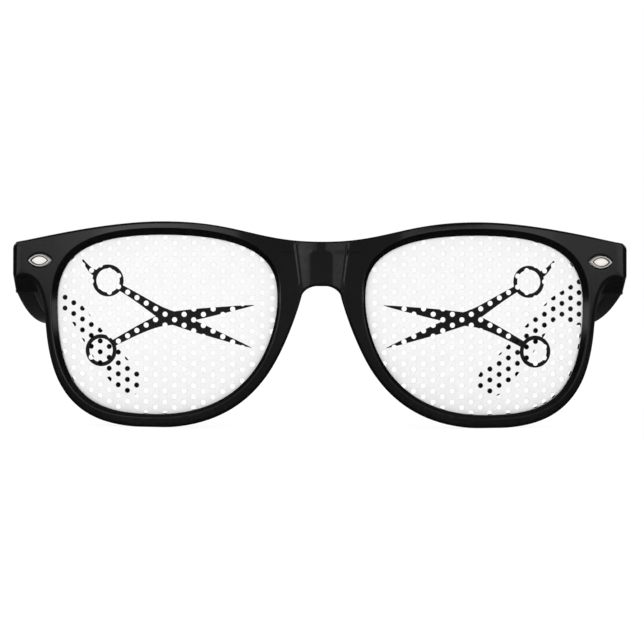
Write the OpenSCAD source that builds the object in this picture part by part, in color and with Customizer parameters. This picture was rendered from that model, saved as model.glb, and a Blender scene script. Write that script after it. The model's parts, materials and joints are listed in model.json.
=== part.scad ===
// Novelty glasses: a wrapped plastic front, perforated film on clear lenses and two folding temples.
// They stand on the rims and the temple tips, front towards -Y, and are centred on X and Y.
// Lengths are millimetres. "Left" is the wearer's left, at +X.

/* [Front] */
// Width across the end pieces
front_w = 146; // [142:0.5:150]
// Radius of the front's wrap, seen from above
wrap_r = 165; // [150:1:190]
// Thickness of the front
front_t = 4.2; // [4:0.1:4.8]
// Width of the rim round a lens
rim_w = 3.1; // [2.8:0.1:3.5]
// Width of the bevel over a lens opening and on its ear side
bevel_w = 1.4; // [1:0.1:1.6]
// Width of the bevel under a lens opening and on its nose side
bevel_low_w = 0.7; // [0.5:0.05:0.9]
// Depth of the bevel where it is wide. Where it is narrow, it has the same slope
bevel_d = 1.2; // [0.8:0.1:1.3]
// Width of the front between a lens opening and the outer edge
end_w = 11.1; // [10.6:0.1:12]
// Height of an end piece at its outer edge
end_h = 9; // [8:0.1:9.5]
// Depth of an end piece at its outer edge
end_d = 5.6; // [5.4:0.1:7]
// Radius of an end piece's upper corner
end_corner_r = 1.8; // [1:0.1:2.5]
// Fall of the brow from the rim's crown to the end piece
brow_drop = 4.4; // [3.5:0.1:5.5]

/* [Bridge] */
// Space between the lens openings
bridge_gap = 20.2; // [18.5:0.1:22]
// Fall of the top edge from the rim's crown to the bridge
bridge_drop = 4.7; // [3.5:0.1:6]
// Height of the bridge over the nose
bridge_h = 10.2; // [9:0.1:11.5]
// Width of the nose arch at its top
arch_w = 9; // [8:0.1:10.5]
// How far a nose pad stands back from the front
pad_d = 3.6; // [2.5:0.1:4.5]
// Width of a nose pad
pad_w = 2.6; // [2:0.1:3.5]
// Height of a nose pad
pad_h = 15; // [12:0.5:17]

/* [Lenses] */
// Height of a lens opening
lens_h = 41.5; // [39:0.1:43]
// Depth of the groove that holds a lens
groove_d = 1.0; // [0.8:0.05:1.3]
// Thickness of a clear lens
lens_t = 1.0; // [0.8:0.05:1.2]
// Thickness of the perforated film
film_t = 0.15; // [0.1:0.01:0.2]
// Diameter of a hole in the film
hole_d = 1.2; // [0.8:0.05:1.3]
// Step from hole to hole up a column
hole_rise = 2.54; // [2.4:0.02:2.9]
// Step from column to column across the film
hole_run = 2.28; // [2.1:0.02:2.6]

/* [Temples] */
// Reach of a temple behind its hinge joint
temple_reach = 124; // [118:0.2:131]
// Thickness of a temple at its hinge joint
temple_t = 4.4; // [4:0.1:4.8]
// Thickness of a temple at its tip
tip_t = 3.2; // [2.6:0.1:3.6]
// Height of a temple at its hinge joint
temple_h = 12.2; // [11:0.1:13]
// Height of the shaft at its tallest
shaft_h = 12.1; // [11:0.1:13]
// Height of the waist ahead of the ear bend
waist_h = 6.2; // [5.4:0.1:7.5]
// Height of the ear hook's round tip
tip_h = 8.6; // [7.5:0.1:9.6]
// Downward slope of the shaft's top edge, in degrees
shaft_slope = 8.9; // [7.5:0.1:9.5]
// Downward slope of the hook at its tip, in degrees
hook_slope = 34; // [28:1:40]
// Distance from the hinge joint to the waist
waist_s = 77; // [72:1:82]
// Distance from the hinge joint to the start of the inward sweep
sweep_s = 57; // [50:1:66]
// Radius of the inward sweep, seen from above
sweep_r = 125; // [115:1:170]

/* [Studs] */
// Length of a stud
stud_l = 6.2; // [5:0.1:6.4]
// Height of a stud
stud_h = 2.9; // [2.4:0.1:3.4]
// How far a stud stands out of the front
stud_proud = 0.45; // [0.3:0.05:0.7]
// Distance of a stud from the lens groove beside it
stud_gap = 0.1; // [0.1:0.05:0.5]
// Diameter of the post behind a stud
post_d = 1.4; // [1.2:0.1:1.8]
// Length of that post
post_l = 2.4; // [1.5:0.1:3]

/* [Hinges] */
// Height of a hinge
hinge_h = 6; // [5.4:0.1:6.6]
// Diameter of a hinge barrel
barrel_d = 3; // [2.8:0.1:3.2]
// Diameter of a hinge screw's shank
pin_d = 1.4; // [1.2:0.05:1.6]
// Thickness of a hinge leaf
leaf_t = 0.9; // [0.7:0.05:1.1]
// Width of the leaf on the front
front_leaf_w = 5.5; // [5.2:0.1:6]
// Length of the leaf on a temple
temple_leaf_l = 9; // [8:0.1:11]
// Diameter of a hinge screw's head
head_d = 2.6; // [2.3:0.1:2.9]
// Thickness of a hinge screw's head
head_t = 0.7; // [0.5:0.05:0.9]
// Diameter of a leaf screw's shank
leaf_screw_d = 1.0; // [0.8:0.05:1.1]
// Length of a leaf screw under its head
leaf_screw_l = 3.0; // [2.4:0.1:3.2]
// Diameter of a leaf screw's head
leaf_head_d = 1.8; // [1.6:0.05:1.9]
// Thickness of a leaf screw's head
leaf_head_t = 0.35; // [0.3:0.05:0.45]

/* [Fits] */
// Clearance between a lens and its groove
lens_fit = 0.1; // [0.05:0.01:0.15]
// Clearance between seated pieces
seat_fit = 0.03; // [0.02:0.01:0.05]
// Gap between a temple and its end piece
butt_gap = 0.15; // [0.1:0.01:0.25]
// Gap between two hinge barrels, end to end
barrel_gap = 0.1; // [0.06:0.01:0.15]
// Gap between a hinge barrel and what passes it
barrel_clear = 0.3; // [0.25:0.01:0.4]

/* [Hidden] */
$fn = 96;

// Sides of the mirrored pieces
left = 1;
right = -1;
// Round count for the cylinders of the wrap
wrap_fn = 360;
// Points on each quarter of a lens outline
quarter_n = 14;
// Points on each free curve
curve_n = 10;
// How far a cut runs past what it cuts
past = 1;

black = [0.11, 0.115, 0.12];
silver = [0.85, 0.83, 0.8];
steel = [0.6, 0.61, 0.63];
clear = [0.85, 0.9, 0.92, 0.35];
white = [0.96, 0.96, 0.96];

half_w = front_w / 2;
lens_w = half_w - bridge_gap / 2 - end_w;
// The rims are trimmed flat where they stand
floor_trim = 0.1;
lens_low = rim_w - floor_trim;
lens_top = lens_low + lens_h;
rim_top = lens_top + rim_w;
bridge_top = rim_top - bridge_drop;
arch_top = bridge_top - bridge_h;
end_top = rim_top - brow_drop;
end_low = end_top - end_h;

// Behind the bridge's front edge: the wrapped face at a place across the front
function sag(x) = wrap_r - sqrt(wrap_r * wrap_r - x * x);
butt_y = sag(half_w) + end_d;
temple_y = butt_y + butt_gap;
overall_d = temple_y + temple_reach;

// Points of a cubic curve from a to d that heads for b and comes in from c, without its last point
function curve(a, b, c, d, n = curve_n) = [
  for (i = [0:n - 1])
    let (t = i / n, u = 1 - t)
    u * u * u * a + 3 * u * u * t * b + 3 * u * t * t * c + t * t * t * d
];
// Points of an arc, both ends included
function arc(centre, r, from, to, n = curve_n) =
  [for (i = [0:n]) let (a = from + (to - from) * i / n) centre + r * [cos(a), sin(a)]];
function reversed(pts) = [for (i = [len(pts) - 1:-1:0]) pts[i]];
function mirrored(pts) = [for (p = reversed(pts)) [-p.x, p.y]];
// A closed outline moved outwards along its own normals, by one distance or by one for each point
function grown(pts, by) = let (n = len(pts)) [
  for (i = [0:n - 1])
    let (t = pts[(i + 1) % n] - pts[(i + n - 1) % n], far = is_list(by) ? by[i] : by)
    pts[i] + far * [t.y, -t.x] / norm(t)
];
// A share from 0 to 1 with a soft start and a soft end
function eased(t) = let (u = min(max(t, 0), 1)) u * u * (3 - 2 * u);
// Whether a place lies inside a convex outline
function inside(p, pts) = let (n = len(pts))
  min([for (i = [0:n - 1]) cross(pts[(i + 1) % n] - pts[i], p - pts[i])]) > 0;

// The lens opening turns level at its crown and keel, and upright at its nose and ear sides
crown = [bridge_gap / 2 + 0.52 * lens_w, lens_top];
keel = [bridge_gap / 2 + 0.545 * lens_w, lens_low];
nose = [bridge_gap / 2, lens_low + 0.635 * lens_h];
ear = [bridge_gap / 2 + lens_w, lens_low + 0.62 * lens_h];
// A quarter of the outline between a level point and an upright one, with how full it is at each end
function quarter(level, upright, level_full, upright_full) = curve(
  level,
  [level.x + level_full * (upright.x - level.x), level.y],
  [upright.x, upright.y + upright_full * (level.y - upright.y)],
  upright,
  quarter_n
);
function quarter_back(level, upright, level_full, upright_full) = curve(
  upright,
  [upright.x, upright.y + upright_full * (level.y - upright.y)],
  [level.x + level_full * (upright.x - level.x), level.y],
  level,
  quarter_n
);
lens_lower = concat(quarter_back(keel, nose, 0.91, 0.16), quarter(keel, ear, 0.52, 0.94));
lens_upper = concat(quarter_back(crown, ear, 0.68, 0.74), quarter(crown, nose, 0.99, 0.39));
lens_outline = concat(lens_lower, lens_upper);
// The bevel widens from keel to ear and narrows again from crown to nose
bevel_widths = [
  for (i = [0:len(lens_outline) - 1])
    let (quarters = i / quarter_n)
    bevel_low_w + (bevel_w - bevel_low_w) * (eased(quarters - 1) - eased(quarters - 3))
];

// The rim leaves the lens outline for the nose arch and for the end piece
arch_join_z = lens_low + 0.2 * lens_h;
end_join_z = lens_low + 0.49 * lens_h;
rim_outline = grown(lens_outline, rim_w);
rim_lower = [
  for (i = [1:len(lens_lower) - 1])
    let (p = rim_outline[i], join_z = i < quarter_n ? arch_join_z : end_join_z)
    if (p.y < join_z) [p.x, max(p.y, 0)]
];
arch_start = rim_lower[0];
end_start = rim_lower[len(rim_lower) - 1];

// Nose arch: a level top, a round corner, and a flank that runs down into the rim
arch_corner = [arch_w / 2, arch_top - 2.2];
arch_flat = [0.11 * arch_w, arch_top];
arch_flank = curve(
  arch_corner,
  arch_corner + [0.95, -3.8],
  arch_start + [-4.4, 5.4],
  arch_start,
  2 * curve_n
);
arch_outline = concat(
  [[0, arch_top]],
  curve(arch_flat, [0.28 * arch_w, arch_top], arch_corner + [-0.32, 1.15], arch_corner),
  arch_flank
);

// End piece: a hollow underside, two round corners and a long brow to the rim's crown
low_corner_r = 1.1;
rim_crown = [crown.x, rim_top];
brow_end = [half_w - 3, end_top + 0.2];
brow_lead = [0.35 * (half_w - crown.x), 0];
brow = curve(brow_end, brow_end + [-4.5, 0.75], rim_crown + brow_lead, rim_crown, 2 * curve_n);
end_outline = concat(
  curve(end_start, end_start + [0.5, 6], [half_w - 6.6, end_low], [half_w - 3, end_low]),
  arc([half_w - low_corner_r, end_low + low_corner_r], low_corner_r, -90, 0),
  arc([half_w - end_corner_r, end_top - end_corner_r], end_corner_r, 0, 80),
  brow
);
bridge_outline = concat(
  curve(rim_crown, [0.514 * crown.x, rim_top], [0.413 * crown.x, bridge_top], [0, bridge_top], 2 * curve_n),
  [[0, bridge_top]]
);
half_outline = concat(arch_outline, rim_lower, end_outline, bridge_outline);
front_outline = concat(half_outline, mirrored([for (p = half_outline) if (p.x > 0) p]));

// Layers through the front, measured in from its face
film_in = bevel_d + 0.3;
lens_in = film_in + film_t + seat_fit;
groove_from = film_in - seat_fit;
groove_to = lens_in + lens_t + seat_fit;

// Hinge axis: inboard of the temple's inner face and behind the butt joint
temple_in_x = half_w - temple_t;
barrel_r = barrel_d / 2;
hinge_x = temple_in_x - barrel_clear - barrel_r;
hinge_y = butt_y + butt_gap + barrel_r;
hinge_z = (end_top + end_low) / 2;
barrel_bore = pin_d / 2 + seat_fit;
// Each barrel joins its leaf through a web, and a leaf screw's head keeps this far from the leaf's edge
web_w = 0.8 * barrel_d;
leaf_edge = 0.35;
front_leaf_end = hinge_x + web_w / 2;
front_leaf_x = front_leaf_end - front_leaf_w;
front_screw_x = front_leaf_x + leaf_edge + leaf_head_d / 2;
mid_barrel_h = hinge_h / 3;
end_barrel_h = (hinge_h - mid_barrel_h) / 2 - barrel_gap;

module place() translate([0, -overall_d / 2, 0]) children();
// As drawn for the left side, mirrored for the right
module on(side) mirror([side == left ? 0 : 1, 0, 0]) children();
// A drawing of X and Z, given depth along Y
module upright(from, to) translate([0, to, 0]) rotate([90, 0, 0]) linear_extrude(to - from) children();
// A drawing of Y and Z, given width along X
module sideways(from, to) translate([from, 0, 0]) rotate([90, 0, 90]) linear_extrude(to - from) children();
// A drawing of X and Y, given height along Z
module level(from, to) translate([0, 0, from]) linear_extrude(to - from) children();
// The layer of the wrap between two distances in from the front's face
module wrap_layer(from, to) translate([0, wrap_r, -past]) difference() {
  cylinder(r = wrap_r - from, h = rim_top + 2 * past, $fn = wrap_fn);
  translate([0, 0, -past]) cylinder(r = wrap_r - to, h = rim_top + 4 * past, $fn = wrap_fn);
}
// A lens outline cut out of one layer of the wrap
module wrapped_lens(grow, from, to) intersection() {
  upright(-past, butt_y + past) difference() {
    polygon(grown(lens_outline, grow));
    children();
  }
  wrap_layer(from, to);
}

// The opening for a lens: flared at the wrapped face, then straight through
module lens_opening() {
  n = len(lens_outline);
  // The flare carries on a little in front of the face, so that the two cross cleanly
  lead = 0.5;
  wide = grown(lens_outline, (1 + lead) * bevel_widths);
  depths = bevel_d / bevel_w * bevel_widths;
  rings = [
    [for (p = wide) [p.x, -2 * past, p.y]],
    [for (i = [0:n - 1]) let (p = wide[i]) [p.x, sag(p.x) - lead * depths[i], p.y]],
    [for (i = [0:n - 1]) let (p = lens_outline[i]) [p.x, sag(p.x) + depths[i], p.y]],
    [for (p = lens_outline) [p.x, butt_y + past, p.y]],
  ];
  last = (len(rings) - 1) * n;
  polyhedron(
    points = [for (ring = rings) each ring],
    faces = concat(
      [
        for (k = [0:len(rings) - 2], i = [0:n - 1])
          let (j = (i + 1) % n)
          each [[k * n + i, k * n + j, (k + 1) * n + j], [k * n + i, (k + 1) * n + j, (k + 1) * n + i]]
      ],
      [for (i = [1:n - 2]) [0, i + 1, i]],
      [for (i = [1:n - 2]) [last, last + i, last + i + 1]]
    ),
    convexity = 4
  );
}

// The end piece turned back to meet the temple, with its underside falling to the temple's
lug_margin = 0.6;
lug_in_x = front_leaf_x - lug_margin;
lug_front_y = sag(half_w) - lug_margin;
module end_lug() intersection() {
  sideways(lug_in_x, half_w) polygon([
    [lug_front_y, end_low],
    [butt_y, end_top - temple_h],
    [butt_y, end_top],
    [lug_front_y, end_top],
  ]);
  upright(0, butt_y) polygon(concat(
    [[lug_in_x, 0], [half_w, 0]],
    arc([half_w - end_corner_r, end_top - end_corner_r], end_corner_r, 0, 90),
    [[lug_in_x, end_top]]
  ));
  wrap_layer(0, end_d + 2 * sag(half_w));
}

// A nose pad: a strip along the arch's flank that swells backwards
pad_z = arch_join_z + 0.55 * pad_h;
module nose_pad() {
  flank = [for (p = arch_flank) if (abs(p.y - pad_z) < pad_h / 2) p];
  back_y = sag(flank[0].x) + front_t + pad_d;
  swell_r = (pad_h * pad_h / 4 + pad_d * pad_d) / (2 * pad_d);
  intersection() {
    upright(front_t / 2, back_y + past) polygon(concat(flank, reversed([for (p = flank) p + [pad_w, 0]])));
    sideways(0, crown.x) translate([back_y - swell_r, pad_z]) circle(r = swell_r, $fn = wrap_fn);
  }
}

// A pointed oval, as long and high as given
module pointed_oval(long, high) {
  r = (long * long + high * high) / (4 * high);
  intersection() {
    translate([0, r - high / 2]) circle(r = r);
    translate([0, high / 2 - r]) circle(r = r);
  }
}
// At a stud: square to the wrapped face, X across, Y into the front
stud_x = ear.x + groove_d + stud_gap + stud_l / 2;
stud_z = hinge_z - 0.1;
stud_seat_d = 0.5;
// The stud's seat is a little larger than the stud, which leaves a dark line round it
stud_seat_l = stud_l + 0.5;
stud_seat_h = stud_h + 0.3;
module at_stud() translate([stud_x, sag(stud_x), stud_z]) rotate([0, 0, asin(stud_x / wrap_r)]) children();

// Leaf screws, each drawn with its head's underside at the origin and its shank along +Z
leaf_slot_w = 0.3;
leaf_screw_rise = hinge_h / 2 - leaf_head_d / 2 - leaf_edge;
leaf_screw_step = 3.4;
temple_screw_end = hinge_y + temple_leaf_l - leaf_edge - leaf_head_d / 2;
module at_front_screws() for (up = [-1, 1])
  translate([front_screw_x, butt_y, hinge_z + up * leaf_screw_rise]) rotate([90, 0, 0]) children();
module at_temple_screws() for (i = [0:1])
  translate([temple_in_x, temple_screw_end - i * leaf_screw_step, hinge_z]) rotate([0, 90, 0]) children();
module leaf_screw() {
  difference() {
    translate([0, 0, -leaf_head_t]) cylinder(d = leaf_head_d, h = leaf_head_t);
    translate([-leaf_head_d, -leaf_slot_w / 2, -leaf_head_t - past])
      cube([2 * leaf_head_d, leaf_slot_w, past + leaf_head_t / 2]);
  }
  cylinder(d = leaf_screw_d, h = leaf_screw_l);
}
module leaf_screw_hole() translate([0, 0, -past])
  cylinder(r = leaf_screw_d / 2 + seat_fit, h = leaf_screw_l + past + seat_fit);

// The leaf on the front lies flush in the end piece's back; its recess has room and is cut from outside
module front_leaf(room, over) upright(butt_y - leaf_t - room, butt_y + over)
  translate([front_leaf_x - room, hinge_z - hinge_h / 2 - room])
  square([front_leaf_w + 2 * room, hinge_h + 2 * room]);
// The leaf on a temple lies flush in its inner face and starts at its butt end; so does its recess
temple_leaf_h = 0.86 * hinge_h;
module temple_leaf(room, over) sideways(temple_in_x - over, temple_in_x + leaf_t + room)
  translate([temple_y - over, hinge_z - temple_leaf_h / 2 - room])
  square([hinge_y + temple_leaf_l - temple_y + over + room, temple_leaf_h + 2 * room]);

module front_frame() color(black) place() difference() {
  union() {
    intersection() {
      upright(-past, butt_y) polygon(front_outline);
      wrap_layer(0, front_t);
    }
    for (side = [left, right]) on(side) {
      end_lug();
      nose_pad();
    }
  }
  for (side = [left, right]) on(side) {
    lens_opening();
    wrapped_lens(groove_d, groove_from, groove_to);
    at_stud() {
      upright(-past, stud_seat_d + seat_fit) pointed_oval(stud_seat_l, stud_seat_h);
      upright(0, post_l + stud_seat_d + seat_fit) circle(d = post_d + 2 * seat_fit);
    }
    front_leaf(seat_fit, past);
    at_front_screws() leaf_screw_hole();
  }
}

module lens(side) color(clear) place() on(side)
  wrapped_lens(groove_d - lens_fit, lens_in, lens_in + lens_t);

// The film's holes: columns a step apart along the wrap, every other one half a step higher.
// Each side's film is cut from its sheet at its own place: so much of a step across and so high up.
film_cut_left = [0.39, 2.19];
film_cut_right = [0.96, 1.98];
module film_holes(side) {
  cut = side == left ? film_cut_left : film_cut_right;
  for (i = [0:floor(half_w / hole_run)], j = [0:floor(lens_top / hole_rise)])
    let (
      along = (i + cut.x) * hole_run,
      x = wrap_r * sin(along / wrap_r * 180 / PI),
      z = (j + (i % 2) / 2) * hole_rise + cut.y
    )
    if (inside([x, z], lens_outline)) translate([x, z]) circle(d = hole_d, $fn = 24);
}
module lens_film(side) color(white) place() on(side)
  wrapped_lens(groove_d - lens_fit, film_in, film_in + film_t) film_holes(side);

// A temple's edges, seen from its side: distance behind the hinge joint, height above the table
tip_r = tip_h / 2;
tip = [temple_reach - tip_r, tip_r - floor_trim];
hook_along = [cos(hook_slope), -sin(hook_slope)];
hook_up = [sin(hook_slope), cos(hook_slope)];
waist_top = [waist_s, end_top - waist_s * tan(shaft_slope)];
shaft_along = [cos(shaft_slope), -sin(shaft_slope)];
// The shaft is tallest a little ahead of the inward sweep
belly_s = sweep_s - 3;
belly = [belly_s, end_top - belly_s * tan(shaft_slope) - shaft_h];
waist_low = [waist_s + 3, waist_top.y - waist_h];
temple_low = [0, end_top - temple_h];
tip_low = tip - tip_r * hook_up;
tip_top = tip + tip_r * hook_up;
hook_top = curve(waist_top, waist_top + 14 * shaft_along, tip_top - 14 * hook_along, tip_top, 2 * curve_n);
temple_side = concat(
  [temple_low],
  curve(temple_low + [0.2, -0.06], temple_low + [9, -2.7], belly - [28, -1], belly, 2 * curve_n),
  curve(belly, belly + [9, -0.6], waist_low - [11, 0], waist_low),
  curve(waist_low, waist_low + [10, 0], tip_low - 16 * hook_along, tip_low, 2 * curve_n),
  [for (p = arc(tip, tip_r, -90 - hook_slope, 90 - hook_slope, 2 * curve_n)) [p.x, max(p.y, 0)]],
  reversed(hook_top),
  [[0, end_top]]
);
// A temple's faces, seen from above: straight, then swept inwards, thinning towards the tip
function swept(s) = s > sweep_s ? sweep_r - sqrt(sweep_r * sweep_r - (s - sweep_s) * (s - sweep_s)) : 0;
function outer_x(s) = half_w - swept(s);
function thickness(s) = temple_t + (tip_t - temple_t) * s / temple_reach;
sweep_stations = [for (i = [0:2 * curve_n]) sweep_s + (temple_reach + past - sweep_s) * i / (2 * curve_n)];
temple_plan = concat(
  [[half_w, 0]],
  [for (s = sweep_stations) [outer_x(s), s]],
  [for (s = reversed(sweep_stations)) [outer_x(s) - thickness(s), s]],
  [[temple_in_x, 0]]
);
module temple(side) color(black) place() on(side) difference() {
  translate([0, temple_y, 0]) intersection() {
    sideways(0, half_w) polygon(temple_side);
    level(-past, rim_top) polygon(temple_plan);
  }
  temple_leaf(seat_fit, past);
  at_temple_screws() leaf_screw_hole();
}

// A stud has a raised rim, a shallow groove inside it and a flat middle
stud_groove_d = 0.2;
module stud(side) color(silver) place() on(side) at_stud() {
  difference() {
    upright(-stud_proud, stud_seat_d) pointed_oval(stud_l, stud_h);
    upright(-stud_proud - past, stud_groove_d - stud_proud) difference() {
      pointed_oval(0.86 * stud_l, 0.8 * stud_h);
      pointed_oval(0.68 * stud_l, 0.6 * stud_h);
    }
  }
  upright(0, post_l + stud_seat_d) circle(d = post_d);
}

// One barrel of a hinge between two heights from the hinge's middle
module barrel(from, to) translate([hinge_x, hinge_y, hinge_z + from])
  cylinder(r = barrel_r, h = to - from);
module pin_bore() translate([hinge_x, hinge_y, hinge_z - hinge_h])
  cylinder(r = barrel_bore, h = 2 * hinge_h);
// The barrels on the front, above and below the one on the temple
front_barrels = [[-hinge_h / 2, -hinge_h / 2 + end_barrel_h], [hinge_h / 2 - end_barrel_h, hinge_h / 2]];

module front_hinge(side) color(steel) place() on(side) difference() {
  union() {
    front_leaf(0, 0);
    for (z = front_barrels) {
      barrel(z[0], z[1]);
      translate([hinge_x - web_w / 2, butt_y - leaf_t / 2, hinge_z + z[0]])
        cube([web_w, hinge_y - butt_y + leaf_t / 2, z[1] - z[0]]);
    }
  }
  pin_bore();
  at_front_screws() leaf_screw_hole();
}

module temple_hinge(side) color(steel) place() on(side) difference() {
  union() {
    temple_leaf(0, 0);
    barrel(-mid_barrel_h / 2, mid_barrel_h / 2);
    translate([hinge_x, hinge_y - web_w / 2, hinge_z - mid_barrel_h / 2])
      cube([temple_in_x + leaf_t / 2 - hinge_x, web_w, mid_barrel_h]);
  }
  pin_bore();
  at_temple_screws() leaf_screw_hole();
}

pin_slot_w = 0.44;
module hinge_screw(side) color(steel) place() on(side) translate([hinge_x, hinge_y, hinge_z]) {
  translate([0, 0, -hinge_h / 2]) cylinder(d = pin_d, h = hinge_h + head_t / 2);
  translate([0, 0, hinge_h / 2 + seat_fit]) difference() {
    cylinder(d = head_d, h = head_t);
    translate([-head_d, -pin_slot_w / 2, head_t / 2]) cube([2 * head_d, pin_slot_w, head_t]);
  }
}

module front_hinge_screws(side) color(steel) place() on(side) at_front_screws() leaf_screw();
module temple_hinge_screws(side) color(steel) place() on(side) at_temple_screws() leaf_screw();

front_frame();
lens(left);  // lens_left
lens(right);  // lens_right
lens_film(left);  // lens_film_left
lens_film(right);  // lens_film_right
temple(left);  // temple_left
temple(right);  // temple_right
stud(left);  // stud_left
stud(right);  // stud_right
front_hinge(left);  // front_hinge_left
front_hinge(right);  // front_hinge_right
temple_hinge(left);  // temple_hinge_left
temple_hinge(right);  // temple_hinge_right
hinge_screw(left);  // hinge_screw_left
hinge_screw(right);  // hinge_screw_right
front_hinge_screws(left);  // front_hinge_screws_left
front_hinge_screws(right);  // front_hinge_screws_right
temple_hinge_screws(left);  // temple_hinge_screws_left
temple_hinge_screws(right);  // temple_hinge_screws_right
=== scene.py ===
"""Novelty glasses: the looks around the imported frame.

Shapes are drawn in millimetres: X to the wearer's left, Y back from the bridge's front, Z up from the
table. mesh_object() turns them into metres in the row's frame.
"""

import json
import math

import bmesh
import bpy
import numpy as np
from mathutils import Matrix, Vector
from mathutils.geometry import delaunay_2d_cdt


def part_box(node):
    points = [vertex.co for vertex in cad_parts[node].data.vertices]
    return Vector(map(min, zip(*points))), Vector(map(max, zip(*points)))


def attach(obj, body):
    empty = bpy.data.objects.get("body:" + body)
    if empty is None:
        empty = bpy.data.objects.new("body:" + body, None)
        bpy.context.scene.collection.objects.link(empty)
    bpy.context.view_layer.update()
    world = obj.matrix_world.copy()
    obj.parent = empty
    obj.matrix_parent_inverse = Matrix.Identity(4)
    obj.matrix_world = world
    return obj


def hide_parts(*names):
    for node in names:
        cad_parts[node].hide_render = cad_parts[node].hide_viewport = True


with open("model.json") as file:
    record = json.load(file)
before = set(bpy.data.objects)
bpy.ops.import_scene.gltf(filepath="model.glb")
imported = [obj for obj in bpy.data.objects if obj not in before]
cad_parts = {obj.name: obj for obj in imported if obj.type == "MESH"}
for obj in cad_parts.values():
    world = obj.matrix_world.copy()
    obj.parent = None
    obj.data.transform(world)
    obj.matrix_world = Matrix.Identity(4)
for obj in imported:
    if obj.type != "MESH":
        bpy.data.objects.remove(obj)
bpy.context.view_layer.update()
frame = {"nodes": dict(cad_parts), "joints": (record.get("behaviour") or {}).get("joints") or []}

MM = 0.001
SIDES = {"left": 1, "right": -1}


def box_mm(node):
    """Lowest and highest corner of a CAD node, in millimetres of the row's frame."""
    return [np.array(corner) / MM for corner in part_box(node)]


# Sizes taken from the frame
front_low, front_high = box_mm("front_frame")
temple_low, temple_high = box_mm("temple_left")
FRONT_Y = front_low[1]
HALF_W = front_high[0]
RIM_TOP = front_high[2]
BUTT_Y = front_high[1] - FRONT_Y
TEMPLE_Y = temple_low[1] - FRONT_Y
REACH = temple_high[1] - temple_low[1]
END_TOP = temple_high[2]
HINGE_Z = frame["joints"][0]["pos_m"][2] / MM

# The front: sizes that the frame's boxes don't tell
WRAP_R = 165.0
FRONT_T = 4.2
RIM_W = 3.1
BEVEL_W = 1.4
BEVEL_LOW_W = 0.7
BEVEL_D = 1.2
FLOOR_TRIM = 0.1
END_H = 9.0
END_CORNER_R = 1.8
LOW_CORNER_R = 1.1
BRIDGE_GAP = 20.2
BRIDGE_DROP = 4.7
BRIDGE_H = 10.2
ARCH_W = 9.0
PAD_D = 3.6
PAD_W = 2.6
PAD_H = 15.0
LENS_W = 51.8
LENS_EAR = BRIDGE_GAP / 2 + LENS_W
LENS_LOW = RIM_W - FLOOR_TRIM
LENS_TOP = RIM_TOP - RIM_W
LENS_H = LENS_TOP - LENS_LOW
GROOVE_D = 1.0
FILM_IN = 1.5
FILM_T = 0.15
GROOVE_TO = 2.71
FILM_GROW = 0.9
HOLE_D = 1.2
HOLE_RISE = 2.54
HOLE_RUN = 2.28
BRIDGE_TOP = RIM_TOP - BRIDGE_DROP
ARCH_TOP = BRIDGE_TOP - BRIDGE_H
END_LOW = END_TOP - END_H
# Heights at which the nose arch and the end piece leave the rim
ARCH_JOIN_Z = LENS_LOW + 0.2 * LENS_H
END_JOIN_Z = LENS_LOW + 0.49 * LENS_H
# The end piece's block that holds the hinge: its inner side, and how far over the foot it starts
LUG_IN_X = 61.9
LUG_UP = 0.2
# It keeps a hair inside the front's own corners, so that the two join cleanly
HAIR = 0.01
# Clearance round what is let in, and how far a cutting block reaches past the surface
FIT = 0.03
OVERCUT = 1.0
# The temples
TEMPLE_T = 4.4
TIP_T = 3.2
TEMPLE_H = 12.2
SHAFT_H = 12.1
WAIST_H = 6.2
TIP_H = 8.6
SHAFT_SLOPE = math.radians(8.9)
HOOK_SLOPE = math.radians(34)
WAIST_S = 77.0
SWEEP_S = 57.0
SWEEP_R = 125.0
TEMPLE_EDGE_R = 0.95
# The edge is crisper at the butt end, and softens over the first stretch behind it
BUTT_EDGE_R = 0.25
BUTT_STRETCH = 1.5
# The studs
STUD_L = 6.2
STUD_H = 2.9
STUD_X = 66.1
STUD_Z = HINGE_Z - 0.1
STUD_SEAT_D = 0.5

# Points on a quarter of a lens outline and on a free curve
QUARTER_N = 40
CURVE_N = 24
# Keeps a sharp corner of a growing loop from running far out
LEAST_TURN = 0.35
# Points that are nearer to each other than this are one point
SAME_POINT = 1e-6


def cubic(a, b, c, d, n=CURVE_N):
    """n points of a cubic curve from a towards d, without d."""
    t = np.linspace(0, 1, n, endpoint=False)[:, None]
    u = 1 - t
    a, b, c, d = (np.array(p, float) for p in (a, b, c, d))
    return u**3 * a + 3 * u**2 * t * b + 3 * u * t**2 * c + t**3 * d


def arc(centre, r, start, end, n=CURVE_N // 2):
    """Points of an arc between two angles in degrees, both ends included."""
    a = np.radians(np.linspace(start, end, n + 1))
    return np.array(centre) + r * np.stack([np.cos(a), np.sin(a)], 1)


def grown(loop, by):
    """A closed anticlockwise loop moved outwards, by one distance or by one for each point."""
    back = loop - np.roll(loop, 1, 0)
    ahead = np.roll(loop, -1, 0) - loop
    back /= np.linalg.norm(back, axis=1)[:, None]
    ahead /= np.linalg.norm(ahead, axis=1)[:, None]
    normal_a = np.stack([back[:, 1], -back[:, 0]], 1)
    normal_b = np.stack([ahead[:, 1], -ahead[:, 0]], 1)
    turn = np.maximum(1 + (normal_a * normal_b).sum(1), LEAST_TURN)
    return loop + np.reshape(by, (-1, 1)) * (normal_a + normal_b) / turn[:, None]


def tidied(loop, least=0.02):
    """A closed loop without points that lie on top of each other."""
    kept = [loop[0]]
    for p in loop[1:]:
        if np.linalg.norm(p - kept[-1]) > least:
            kept.append(p)
    if np.linalg.norm(kept[0] - kept[-1]) < least:
        kept.pop()
    return np.array(kept)


def flipped(loop):
    """A loop mirrored to the other side, still anticlockwise."""
    return loop[::-1] * [-1, 1]


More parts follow.
